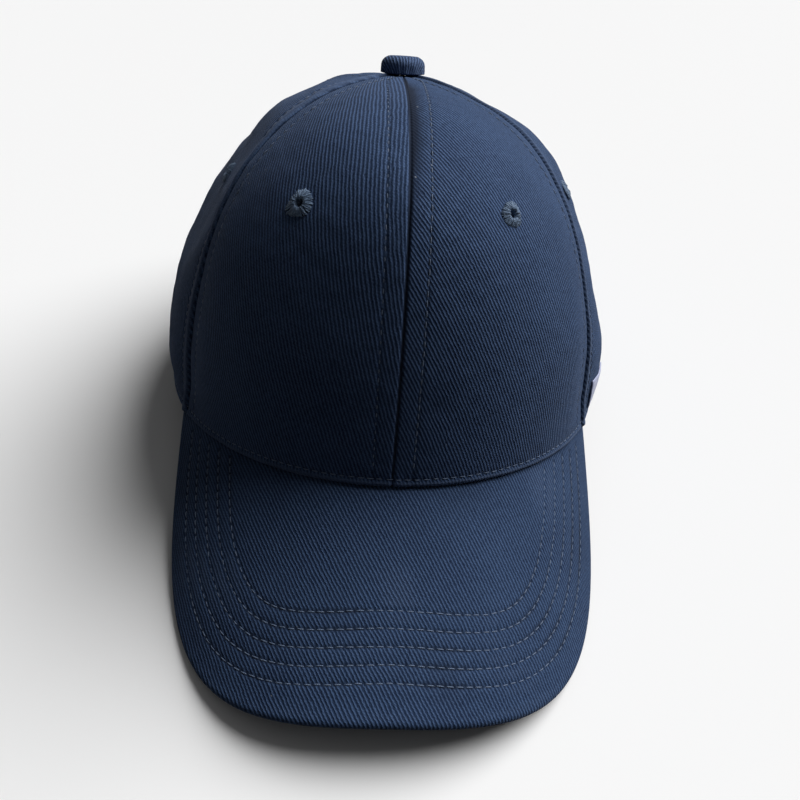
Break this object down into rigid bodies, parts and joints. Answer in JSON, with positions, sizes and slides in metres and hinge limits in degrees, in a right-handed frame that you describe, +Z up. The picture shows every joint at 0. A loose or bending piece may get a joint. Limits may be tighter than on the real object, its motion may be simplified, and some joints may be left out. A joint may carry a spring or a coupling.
{
  "type": "baseball cap",
  "caption": "Navy cotton twill baseball cap with six panels, curved stitched visor, covered top button, sewn eyelets and an adjustable strap with a flip-lever buckle.",
  "frame": {"origin": "on the level surface the cap stands on, below the centre of its bounding box", "axes": "+Z up, -Y towards the visor, +X to the right as seen from the front; the cap stands on its two visor edges and the back of its rim"},
  "size_m": [0.1728, 0.2685, 0.1406],
  "materials": {
    "cotton_twill": "navy cotton twill, fine diagonal ribs, matt",
    "buckram": "open-weave stiffened gauze",
    "binding_tape": "plain woven navy tape",
    "sweatband_cotton": "plain woven navy cotton",
    "interlining": "white nonwoven",
    "thread": "embroidered navy thread, slight sheen",
    "visor_plastic": "flexible moulded sheet",
    "woven_label": "blank woven label",
    "buckle_metal": "antique pewter, brushed",
    "tack_steel": "pressed zinc-plated steel"
  },
  "bodies": {
    "cap": {"front_panel_left": "cotton_twill", "front_panel_right": "cotton_twill", "side_panel_left": "cotton_twill", "side_panel_right": "cotton_twill", "back_panel_left": "cotton_twill", "back_panel_right": "cotton_twill", "buckram_left": "buckram", "buckram_right": "buckram", "seam_tape_front": "binding_tape", "seam_tape_front_left": "binding_tape", "seam_tape_front_right": "binding_tape", "seam_tape_back_left": "binding_tape", "seam_tape_back_right": "binding_tape", "seam_tape_back": "binding_tape", "arch_binding": "binding_tape", "sweatband": "sweatband_cotton", "sweatband_backing": "interlining", "button_cover": "cotton_twill", "button_shell": "tack_steel", "button_tack": "tack_steel", "visor_board": "visor_plastic", "visor_top_cover": "cotton_twill", "visor_under_cover": "cotton_twill", "eyelet_front_left": "thread", "eyelet_front_right": "thread", "eyelet_side_left": "thread", "eyelet_side_right": "thread", "eyelet_back_left": "thread", "eyelet_back_right": "thread", "side_label": "woven_label", "care_label": "woven_label", "buckle_tab": "cotton_twill", "buckle_frame": "buckle_metal", "buckle_pin": "buckle_metal"},
    "strap": {"strap": "cotton_twill"},
    "lever": {"buckle_lever": "buckle_metal"}
  },
  "joints": [
    {"name": "strap_adjust", "type": "hinge", "parent": "cap", "child": "strap", "pos_m": [0, 0.05206, 0.02605], "axis": [0, 0.1745, 0.9847], "range_deg": [-8, 13]},
    {"name": "buckle_lever_hinge", "type": "hinge", "parent": "cap", "child": "lever", "pos_m": [-0.0187, 0.12774, 0.01263], "axis": [0, 0.1745, 0.9847], "range_deg": [0, 100]}
  ]
}
